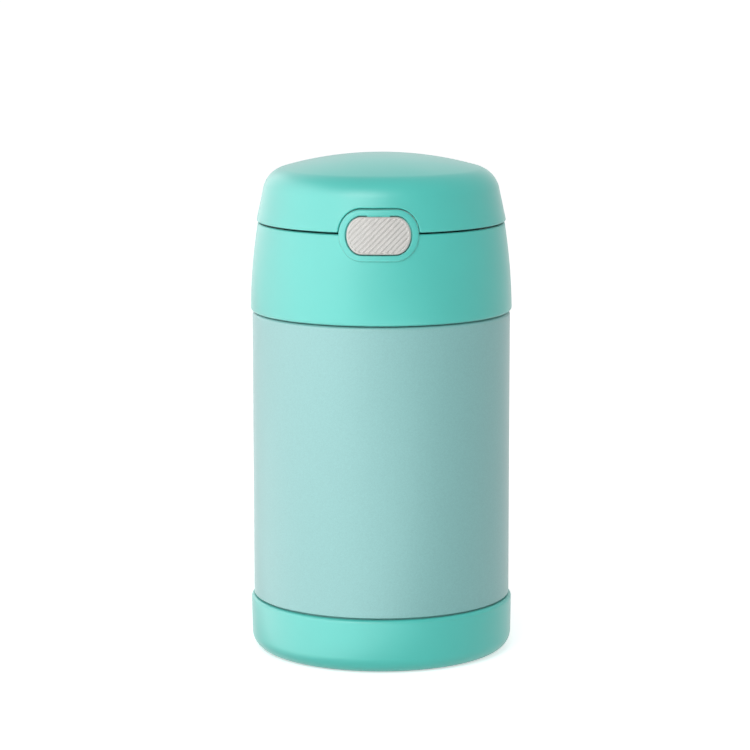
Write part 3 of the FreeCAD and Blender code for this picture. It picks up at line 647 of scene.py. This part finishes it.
def slotted_roof():
    """Roof plate of the housing: the section between its outline and the slot's, carried round both."""
    outer = block_loop(-HOUSING_X, HOUSING_X, -HOUSING_FRONT, -HOUSING_BACK, 0.5, 12)
    slot = block_loop(-SLOT_X, SLOT_X, -SLOT_FRONT, -SLOT_BACK, 0.5, 12)
    run = [(0, HOUSING_TOP - WALL), (0, HOUSING_TOP - 0.4), (0.01, HOUSING_TOP - 0.12), (0.04, HOUSING_TOP),
           (0.9, HOUSING_TOP), (0.98, HOUSING_TOP - 0.08), (1, HOUSING_TOP - 0.3), (1, HOUSING_TOP - WALL)]
    rows = [upright(*(outer * (1 - s) + slot * s).T, np.full(len(outer), h)) for s, h in run]
    return np.stack(rows)


def slab(x0, x1, y0, y1, z0, z1, edge=0.15):
    """Box with every edge rounded a little."""
    return (prism(block_loop(x0, x1, y0, y1, edge, 4), z0, z1, edge, upright), False, True)


wall_top = HOUSING_TOP - 0.5
wall_end = -HOUSING_BACK - 0.2
housing = [(slotted_roof(), True, True)] + [
    slab(*sides, HOUSING_LOW, top, HOUSING_EDGE) for *sides, top in (
        (-HOUSING_X, HOUSING_X, -HOUSING_BACK - WALL, -HOUSING_BACK, wall_top),
        (-HOUSING_X, -HOUSING_X + WALL, -HOUSING_FRONT, wall_end, wall_top),
        (HOUSING_X - WALL, HOUSING_X, -HOUSING_FRONT, wall_end, wall_top),
        (-HOUSING_X, HOUSING_X, -HOUSING_FRONT, wall_end, HOUSING_LOW + WALL))]

# Two ears are moulded on the back of the collar and carry the hinge pin. Each is a round boss on a web
# that tapers down the wall.
KNUCKLE_R = 2.9
EAR_W = 4.6
WEB_LOW = 138.6
WEB_IN = 41.5
EAR_HEART = (42.5, 146.0)


def hinge_arc(first, last, count):
    """Arc of the knuckle's radius round the hinge axis, as (y, z), from one angle in degrees to another."""
    t = np.radians(np.linspace(first, last, count))
    return np.stack([HINGE_Y + KNUCKLE_R * np.cos(t), HINGE_Z + KNUCKLE_R * np.sin(t)], -1)


boss = hinge_arc(0, 180, 25)
web = rounded([tuple(boss[-1]), (39.3, 145.6, 0.3), (WEB_IN, 145.5), (WEB_IN, WEB_LOW),
               (43.9, WEB_LOW, 0.8), tuple(boss[0])], 6)
ear_loop = evenly(np.concatenate([boss, web[1:]]), 90)[:-1]
ears = [(prism(ear_loop, low, low + EAR_W, 0.4, sideways, EAR_HEART), False, True)
        for low in (-EAR_OUT, EAR_IN)]

# The bezel is a raised pill moulded on the collar. Its face is a cone about 1 mm outside the wall, and it
# holds the button's bore and the wider pocket of its stop lip. A small guide is set over the bore's end.
BEZEL_W = 26.8
BEZEL_H = 17.1
BEZEL_EDGE = 0.6
BEZEL_FOOT = 0.2
FOOT_SINK = 0.03
FADE_GAP = 0.3
FADE_RUN = 1.5
LIP_Z = 149.5
BEZEL_LOW_R = 44.61
BEZEL_HIGH_R = 42.41
BEZEL_BACK = 38.5
BORE_W = 22.2
BORE_H = 13.1
BORE_EDGE = 0.35
BORE_END = 41.2
POCKET_W = 24.6
POCKET_H = 15.6
GUIDE_X = 3.8
GUIDE_FRONT = 42.45
GUIDE_BACK = 41.1
GUIDE_LOW = BUTTON_Z + 6.25
GUIDE_TOP = BUTTON_Z + 7.0


def face_y(x, z, proud=0.0):
    """Depth of the bezel's face: the front of a cone between its two end radii, z from the button's
    centre."""
    share = (z + BEZEL_H / 2) / BEZEL_H
    radius = BEZEL_LOW_R + (BEZEL_HIGH_R - BEZEL_LOW_R) * share + proud
    return -np.sqrt(radius ** 2 - x ** 2)


def bezel_ring():
    """Section carried round the button: a hollow foot that runs out on the collar and fades away at the
    parting line, a quarter-round edge, the face, the bore's edge, the bore, the pocket and the back."""
    rows = []
    t = np.linspace(0, np.pi / 2, 7)

    def row(width, height, depth_from_face=None, at=None, middle=BUTTON_Z):
        spot = pill_outline(width, height)
        y = face_y(*spot.T) + depth_from_face if at is None else np.full(len(spot), at)
        rows.append(np.stack([spot[:, 0], y, spot[:, 1] + middle], -1))

    row(BEZEL_W, BEZEL_H, at=-BEZEL_BACK)
    wall = pill_outline(BEZEL_W, BEZEL_H)
    spread = pill_outline(BEZEL_W + 2 * BEZEL_FOOT, BEZEL_H + 2 * BEZEL_FOOT) - wall
    fade = np.clip((PARTING - FADE_GAP - BUTTON_Z - wall[:, 1:]) / FADE_RUN, 0, 1)
    for a in t[::-1]:
        spot = wall + spread * fade * (1 - math.cos(a))
        z = spot[:, 1] + BUTTON_Z
        y = FOOT_SINK - np.sqrt(collar_r(z) ** 2 - spot[:, 0] ** 2) - BEZEL_FOOT * (1 - math.sin(a))
        rows.append(np.stack([spot[:, 0], y, z], -1))
    for a in t:
        inward = BEZEL_EDGE * (1 - math.cos(a))
        row(BEZEL_W - 2 * inward, BEZEL_H - 2 * inward, BEZEL_EDGE * (1 - math.sin(a)))
    for a in t[::-1]:
        outward = BORE_EDGE * (1 - math.cos(a))
        row(BORE_W + 2 * outward, BORE_H + 2 * outward, BORE_EDGE * (1 - math.sin(a)))
    row(BORE_W, BORE_H, at=-BORE_END)
    row(POCKET_W, POCKET_H, at=-BORE_END, middle=LIP_Z)
    row(POCKET_W, POCKET_H, at=-BEZEL_BACK, middle=LIP_Z)
    return np.stack(rows)


guide = slab(-GUIDE_X, GUIDE_X, -GUIDE_FRONT, -GUIDE_BACK, GUIDE_LOW, GUIDE_TOP, 0.1)
add_piece("collar_skin", [(collar_grid, True, True), (deck_ring(), False, True)] + housing + ears
          + [(bezel_ring(), True, True), guide], "lid", mint_plastic, ["collar"])

# The push button is warm grey plastic. Diagonal ribs cover its face, rising to the right, and fade out
# just inside a smooth border.
BUTTON_W = 21.4
BUTTON_H = 12.3
BUTTON_PROUD = 0.3
BUTTON_EDGE = 0.35
BUTTON_BACK = 40.9
RIB_PITCH = 1.37
RIB_DEPTH = 0.32
RIB_SHARPNESS = 1.4
RIB_FADE = 0.3
GREY = (0.50, 0.492, 0.467)


def button_cap():
    """Face of the button as shrinking outlines. Ribs run along x = z: with p = (x - z) / sqrt 2, the face
    sinks by depth * ((1 - cos(2 pi p / pitch)) / 2) ^ sharpness, and RIB_FADE millimetres blend it out
    at the border."""
    outline = pill_outline(BUTTON_W, BUTTON_H, 560)
    rows = [np.stack([outline[:, 0], np.full(len(outline), -BUTTON_BACK), outline[:, 1] + BUTTON_Z], -1)]
    for a in np.linspace(0, np.pi / 2, 8):
        spot = outline * (1 - BUTTON_EDGE * (1 - math.cos(a)) / (BUTTON_H / 2))
        y = face_y(*spot.T, BUTTON_PROUD) + BUTTON_EDGE * (1 - math.sin(a))
        rows.append(np.stack([spot[:, 0], y, spot[:, 1] + BUTTON_Z], -1))
    for share in np.linspace(1, 0, 84)[1:]:
        spot = outline * (1 - BUTTON_EDGE / (BUTTON_H / 2)) * share
        p = (spot[:, 0] - spot[:, 1]) / math.sqrt(2)
        wave = ((1 - np.cos(2 * np.pi * p / RIB_PITCH)) / 2) ** RIB_SHARPNESS
        fade = np.clip((1 - share) * BUTTON_H / 2 / RIB_FADE, 0, 1)
        y = face_y(*spot.T, BUTTON_PROUD) + RIB_DEPTH * wave * fade
        rows.append(np.stack([spot[:, 0], y, spot[:, 1] + BUTTON_Z], -1))
    back = np.zeros((1, len(outline), 3)) + [0, -BUTTON_BACK, BUTTON_Z]
    return np.concatenate([back, np.stack(rows)])


grey_plastic = moulded("grey_plastic", GREY, 0.45, grain=0.08)
add_piece("button_face", [(button_cap(), False, True)], "button", grey_plastic,
          ["push_button"])
recoat("latch_slide", mint_plastic)

# Two compression springs of bright drawn wire push the button forward from behind its lip. They are
# built once, to fill the CAD springs' box, and ride with the lid.
SPRING_R = 1.6
SPRING_WIRE = 0.25
SPRING_TURNS = 5
wire = steel("drawn_wire", 0.55, 0.22)


def tube(path, radius, sides=14):
    """Round wire along a path. The section stands at right angles to the run, on a normal that is carried
    along by taking out its part along the run at each step."""
    run = np.gradient(path, axis=0)
    run /= np.linalg.norm(run, axis=1)[:, None]
    normal = np.zeros_like(path)
    carried = np.array([0.31, 0.17, 0.93])
    for i, direction in enumerate(run):
        carried = carried - direction * (carried @ direction)
        carried /= np.linalg.norm(carried)
        normal[i] = carried
    other = np.cross(run, normal)
    t = np.linspace(0, 2 * np.pi, sides, endpoint=False)[None, :, None]
    return closed_ends(path[:, None] + radius * (np.cos(t) * normal[:, None] + np.sin(t) * other[:, None]))


low, high = (np.array(corner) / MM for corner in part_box("button_springs"))
turn = np.linspace(0, SPRING_TURNS, 300)
coils = [np.stack([side * (high[0] - SPRING_R - SPRING_WIRE) + SPRING_R * np.cos(2 * np.pi * turn),
                   np.interp(turn, [0, SPRING_TURNS], [low[1] + SPRING_WIRE, high[1] - SPRING_WIRE]),
                   (low[2] + high[2]) / 2 + SPRING_R * np.sin(2 * np.pi * turn)], -1) for side in (-1, 1)]
press_springs = add_piece("press_springs", [(tube(coil, SPRING_WIRE), False, True) for coil in coils], "lid",
                          wire, ["button_springs"])
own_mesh(press_springs)

# The torsion spring winds round the hinge pin. One leg lies on the deck and the other under the cover,
# where it turns with it, so the spring is made as two pieces. The pin is the same bright steel.
COIL_R = 2.1
COIL_WIRE = 0.35
COIL_SPAN = 5.6
COIL_TURNS = 4.5
COIL_LEG = 7
PIN_R = 1.0
PIN_X = 13.4
turn = np.linspace(0, COIL_TURNS, 300)
angle = 2 * np.pi * turn - np.pi / 2
coil = np.stack([COIL_SPAN / COIL_TURNS * turn - COIL_SPAN / 2, HINGE_Y + COIL_R * np.cos(angle),
                 HINGE_Z + COIL_R * np.sin(angle)], -1)
deck_leg = coil[:1] - np.linspace(1, 0.02, 12)[:, None] * [[0, COIL_LEG, 0]]
add_piece("hinge_coil", [(tube(np.concatenate([deck_leg, coil]), COIL_WIRE), False, True)], "lid", wire,
          ["hinge_spring"])
cover_leg = coil[-1:] - np.linspace(0, 1, 12)[:, None] * [[0, COIL_LEG, 0]]
add_piece("hinge_leg", [(tube(cover_leg, COIL_WIRE), False, True)], "flip_cover", wire)
pin_profile = rounded([(0, -PIN_X), (PIN_R, -PIN_X, 0.25), (PIN_R, PIN_X, 0.25), (0, PIN_X)], 6)
pin = turned(pin_profile, 48)
pin = np.stack([pin[..., 2], HINGE_Y + pin[..., 0], HINGE_Z + pin[..., 1]], -1)
add_piece("pin_rod", [(pin, False, True)], "lid", wire, ["hinge_pin"])

# The flip cover is one mint shell: a tapering side, a round shoulder and a shallow crown. Its lower edge
# arches over the bezel and is notched at the back for the hinge.
COVER_LOW = 149.6
COVER_R = 42.98
COVER_LEAN = math.tan(math.radians(12.1))
DOME_R = 123.2
CROWN = 172.6
COVER_WALL = 2.0
COVER_EDGE = 0.5
SHOULDER = 9.35
SIDE_TOP = 160.2
ARCH_W = 27.4
ARCH_H = 17.6
ARCH_ENDS = 1.3
BACK_NOTCH_TOP = 152.8
KNUCKLE_IN = 4.4
KNUCKLE_W = 4.5
KNUCKLE_HEART = (HINGE_Y - 0.3, HINGE_Z + 0.6)
STEM_TOP = 153.6


def cover_side(z, wall=0.0):
    """Radius of the cover's side, or of the same side moved in by a wall."""
    return COVER_R - (z - COVER_LOW) * COVER_LEAN - wall * math.hypot(1, COVER_LEAN)


def crown_profile(wall, from_z, steps):
    """Side, shoulder round and crown as (radius, height), moved in by a wall. The shoulder's arc touches
    the side and the crown's sphere: its centre is where both stand its own radius further in."""
    round_r = SHOULDER - wall
    ball = DOME_R - wall - round_r
    centre_z = CROWN - DOME_R
    z = np.linspace(150, 172, 4001)
    r = cover_side(z, wall + round_r)
    miss = np.hypot(r, z - centre_z) - ball
    k = int(np.argmin(np.abs(miss)))
    middle = np.array([r[k], z[k]])
    first = math.atan(COVER_LEAN)
    last = math.atan2(middle[1] - centre_z, middle[0])
    t = np.linspace(first, last, steps)[:, None]
    shoulder = middle + round_r * np.concatenate([np.cos(t), np.sin(t)], 1)
    edge_angle = math.asin(shoulder[-1, 0] / (DOME_R - wall))
    a = np.linspace(edge_angle, 0, steps)[1:, None]
    crown = np.concatenate([np.sin(a), np.cos(a)], 1) * (DOME_R - wall) + [0, centre_z]
    side = np.array([[cover_side(from_z, wall), from_z]])
    return np.concatenate([side, shoulder, crown])


arch = pill_outline(ARCH_W, ARCH_H)
arch = arch[arch[:, 0] >= -1e-9]
arch = arch[arch[:, 1] >= ARCH_ENDS] + [0, BUTTON_Z]
cover_loop = edge_loop(arch[np.argsort(arch[:, 0])], cover_side, COVER_LOW, EAR_OUT + 0.3, BACK_NOTCH_TOP,
                       0.5, 0.8, 900)
cover_rows = shaped_wall(cover_loop, 1, cover_side, lambda z: cover_side(z, COVER_WALL), SIDE_TOP, COVER_EDGE)
outer_top = revolved_rows(crown_profile(0, SIDE_TOP, 24)[1:], len(cover_loop))
inner_top = revolved_rows(crown_profile(COVER_WALL, SIDE_TOP, 12)[1:], len(cover_loop))
cover_grid = np.stack(inner_top[::-1] + cover_rows + outer_top)
barrel = hinge_arc(150, 390, 40)
stem = rounded([tuple(barrel[-1]), (41.9, STEM_TOP, 0.4), (40.6, STEM_TOP, 0.4), tuple(barrel[0])], 5)
knuckle_loop = evenly(np.concatenate([barrel, stem[1:-1], barrel[:1]]), 80)[:-1]
knuckles = [(prism(knuckle_loop, low, low + KNUCKLE_W, 0.3, sideways, KNUCKLE_HEART), False, True)
            for low in (-KNUCKLE_IN - KNUCKLE_W, KNUCKLE_IN)]
add_piece("cover_skin", [(cover_grid, False, True)] + knuckles, "flip_cover", mint_plastic,
          ["cover_dome"])

# A pan of the same plastic lines the cover and fits inside its side. It is moulded with the tongue that
# hangs from its front edge and that the latch holds.
PAN_Z = 152.2
PAN_FLOOR_T = 1.5
PAN_TOP = 158.7
PAN_IN = 37.45
PAN_FRONT = (13.4, 36.7)
PAN_REAR = (14.1, 40.1)
TONGUE_X = 3.8
TONGUE_FRONT = 36.6
TONGUE_BACK = 34.8
TONGUE_LOW = 141.7
TONGUE_TOP = 152.7
BARB_BACK = 33.2
BARB_TOP = 142.6


def pan_rows():
    """Pan of revolution that fits inside the cover, cut off flat behind the bezel and the hinge: y is held
    at each cut's depth where |x| is less than its half width."""
    z = np.array([PAN_TOP, 156.5, 154.5, 152.6, PAN_Z + 0.12, PAN_Z, PAN_Z, PAN_Z])
    fit = COVER_WALL + 0.1
    rim = cover_side(PAN_Z, fit)
    r = np.concatenate([cover_side(z[:4], fit), [rim - 0.12, rim - 0.5, 30.0, 0.0]])
    outside = np.stack([r, z], -1)
    inside = rounded([(0, PAN_Z + PAN_FLOOR_T), (PAN_IN, PAN_Z + PAN_FLOOR_T, 1.0), (PAN_IN, PAN_TOP)], 8)
    grid = turned(np.concatenate([inside, outside]), 480)
    for sign, (half, depth) in ((-1, PAN_FRONT), (1, PAN_REAR)):
        y = grid[..., 1] * sign
        cut = (np.abs(grid[..., 0]) < half) & (y > 0)
        grid[..., 1] = np.where(cut, np.minimum(y, depth), y) * sign
    return grid


tongue_loop = rounded([
    (-TONGUE_FRONT, TONGUE_TOP), (-TONGUE_FRONT, TONGUE_LOW, 0.3), (-TONGUE_BACK, TONGUE_LOW, 0.2),
    (-BARB_BACK, 142.06, 0.2), (-BARB_BACK, BARB_TOP, 0.15), (-TONGUE_BACK, BARB_TOP),
    (-TONGUE_BACK, TONGUE_TOP),
], 5)
tongue_loop = evenly(np.concatenate([tongue_loop, tongue_loop[:1]]), 120)[:-1]
tongue = prism(tongue_loop, -TONGUE_X, TONGUE_X, 0.2, sideways, (-35.7, 142.3))
add_piece("pan_skin", [(pan_rows(), False, True), (tongue, False, True)], "flip_cover", mint_plastic,
          ["cover_liner"])

# The folding spoon lies in the tray. It is pressed from sheet steel: a bowl with a tab, and a flat handle
# that is riveted to the tab and folded over the bowl.
SPOON_RIM = 139.4
SPOON_WALL = 0.9
RIM_ROUND = 0.3
BOWL_LONG = 24.5
BOWL_WIDE = 16.5
BOWL_DEPTH = 7.6
PIVOT_X = -28.0
TAB_R = 4.5
GRIP_LOW = SPOON_RIM + 0.3
GRIP_TOP = SPOON_RIM + 1.5
RIVET_LOW = 138.0
RIVET_TOP = 141.4
RIVET_HEAD = 0.5
RIVET_HEAD_R = 2.2
RIVET_R = 1.15
spoon_steel = steel("spoon_steel", 0.66, 0.2, 0.03)


def bowl_rows():
    """Half ellipsoids one wall apart, joined by a rounded rim. At turn t and dip a, a face moved in by w is
    at ((long - w) cos a cos t, (wide - w) cos a sin t, rim - round - (depth - w - round) sin a)."""
    t = np.linspace(0, 2 * np.pi, 160, endpoint=False)[None]
    dip = np.linspace(np.pi / 2, 0, 30)[:, None]

    def face(a, inward):
        sink = (BOWL_DEPTH - inward - RIM_ROUND) * np.sin(a) + RIM_ROUND
        return np.stack([(BOWL_LONG - inward) * np.cos(a) * np.cos(t),
                         (BOWL_WIDE - inward) * np.cos(a) * np.sin(t), SPOON_RIM - sink + 0 * t], -1)

    lip = face(dip[-1:], SPOON_WALL / 2) + [0, 0, RIM_ROUND]
    return np.concatenate([face(dip, 0), lip, face(dip[::-1], SPOON_WALL)])


def hull_loop(x0, r0, x1, r1, steps=40):
    """Outline of two circles on the X axis and the straight sides that touch both."""
    lean = math.asin((r1 - r0) / (x1 - x0))
    small = np.linspace(np.pi / 2 + lean, 3 * np.pi / 2 - lean, steps)[:, None]
    large = np.linspace(-np.pi / 2 - lean, np.pi / 2 + lean, steps)[:, None]
    return np.concatenate([[[x0, 0]] + r0 * np.concatenate([np.cos(small), np.sin(small)], 1),
                           [[x1, 0]] + r1 * np.concatenate([np.cos(large), np.sin(large)], 1)])


tab = prism(hull_loop(PIVOT_X, TAB_R, -23.4, 4.6), SPOON_RIM - SPOON_WALL, SPOON_RIM, 0.2, upright)
add_piece("spoon_dish", [(bowl_rows(), False, True), (tab, False, True)], "lid", spoon_steel,
          ["spoon_bowl"])
handle = prism(hull_loop(PIVOT_X, TAB_R, 21.0, 7.0), GRIP_LOW, GRIP_TOP, 0.35, upright)
add_piece("spoon_grip", [(handle, False, True)], "lid", spoon_steel, ["spoon_handle"])
rivet_outline = rounded([
    (0, RIVET_LOW), (RIVET_HEAD_R, RIVET_LOW, 0.2), (RIVET_HEAD_R, RIVET_LOW + RIVET_HEAD),
    (RIVET_R, RIVET_LOW + RIVET_HEAD), (RIVET_R, RIVET_TOP - RIVET_HEAD),
    (RIVET_HEAD_R, RIVET_TOP - RIVET_HEAD), (RIVET_HEAD_R, RIVET_TOP, 0.3), (0, RIVET_TOP),
], 6)
rivet = turned(rivet_outline, 48) + [PIVOT_X, 0, 0]
add_piece("rivet_head", [(rivet, False, True)], "lid", wire, ["spoon_rivet"])

# Studio: white all round, a soft light in front on the left, and four wide cards that show only in the
# gloss, as the satin haze at the edges. The floor is white and takes the jar's soft shadow.
world = bpy.data.worlds.new("studio")
bpy.context.scene.world = world
world.use_nodes = True
sky = world.node_tree.nodes
sky.clear()
wires = world.node_tree.links


def seen_directly(nodes, links):
    """1 for rays from the camera or off a glossy surface, and 0 for those that light the scene."""
    seen = nodes.new("ShaderNodeLightPath")
    either = nodes.new("ShaderNodeMath")
    either.operation = "MAXIMUM"
    links.new(seen.outputs["Is Camera Ray"], either.inputs[0])
    links.new(seen.outputs["Is Glossy Ray"], either.inputs[1])
    return either.outputs["Value"]


def backing(strength):
    """Plain white background of a strength."""
    node = sky.new("ShaderNodeBackground")
    node.inputs["Color"].default_value = (1, 1, 1, 1)
    node.inputs["Strength"].default_value = strength
    return node.outputs["Background"]


choose = sky.new("ShaderNodeMixShader")
wires.new(seen_directly(sky, wires), choose.inputs["Fac"])
wires.new(backing(0.51), choose.inputs[1])
wires.new(backing(1.0), choose.inputs[2])
wires.new(choose.outputs["Shader"], sky.new("ShaderNodeOutputWorld").inputs["Surface"])


def soft_light(name, spot, width, height, watts, aim=(0, 0, 0.09)):
    """Area light at a spot, turned to face the jar."""
    lamp = bpy.data.lights.new(name, "AREA")
    lamp.shape = "RECTANGLE"
    lamp.size = width
    lamp.size_y = height
    lamp.energy = watts
    holder = bpy.data.objects.new(name, lamp)
    holder.location = spot
    holder.rotation_euler = (Vector(aim) - Vector(spot)).to_track_quat("-Z", "Y").to_euler()
    bpy.context.scene.collection.objects.link(holder)
    return holder


soft_light("front_left", (-0.33, -1.12, 0.88), 0.8, 0.6, 8.7)
cards = [
    soft_light("left_card", (-0.9, -1.05, 0.0), 2.7, 2.2, 52, aim=(0, -1.05, 0.0)),
    soft_light("back_card", (-0.9, 1.5, 0.0), 2.4, 2.2, 26, aim=(0, 1.5, 0.0)),
    soft_light("crown_card", (-0.5, 1.55, 1.0), 1.6, 0.8, 3),
    soft_light("low_card", (-0.46, -0.46, 0.0005), 1.2, 1.2, 10, aim=(-0.46, -0.46, 1.0)),
]
cards[-1].rotation_euler.z += math.radians(45)
for card in cards:
    card.visible_diffuse = False
    card.visible_camera = False

floor_mesh = bpy.data.meshes.new("floor")
floor_mesh.from_pydata([(-9, -9, -0.0002), (9, -9, -0.0002), (9, 9, -0.0002), (-9, 9, -0.0002)], [],
                       [(0, 1, 2, 3)])
floor = bpy.data.objects.new("floor", floor_mesh)
bpy.context.scene.collection.objects.link(floor)
paper, paper_nodes, paper_links, paper_shader = blank("paper")
paper_shader.inputs["Base Color"].default_value = (0.9, 0.9, 0.9, 1)
paper_shader.inputs["Roughness"].default_value = 0.9
paper_shader.inputs["Specular IOR Level"].default_value = 0.0
lift = paper_nodes.new("ShaderNodeMath")
lift.operation = "MULTIPLY"
lift.inputs[1].default_value = 0.58
white = paper_nodes.new("ShaderNodeEmission")
both = paper_nodes.new("ShaderNodeAddShader")
paper_links.new(seen_directly(paper_nodes, paper_links), lift.inputs[0])
paper_links.new(lift.outputs["Value"], white.inputs["Strength"])
paper_links.new(paper_shader.outputs["BSDF"], both.inputs[0])
paper_links.new(white.outputs["Emission"], both.inputs[1])
paper_links.new(both.outputs["Shader"], paper_nodes["Material Output"].inputs["Surface"])
floor_mesh.materials.append(paper)

# The camera is fitted to the jar's outline in the photo: a long lens, a little above the lid, that looks
# about nine degrees down.
lens = bpy.data.cameras.new("camera")
lens.lens = 149.47
lens.sensor_width = 36
camera = bpy.data.objects.new("camera", lens)
camera.location = (0.02126, -1.0669, 0.2652)
camera.rotation_euler = (math.radians(90 - 9.04), 0.0009, math.radians(1.25))
bpy.context.scene.collection.objects.link(camera)
bpy.context.scene.camera = camera
bpy.context.scene.view_settings.view_transform = "Standard"
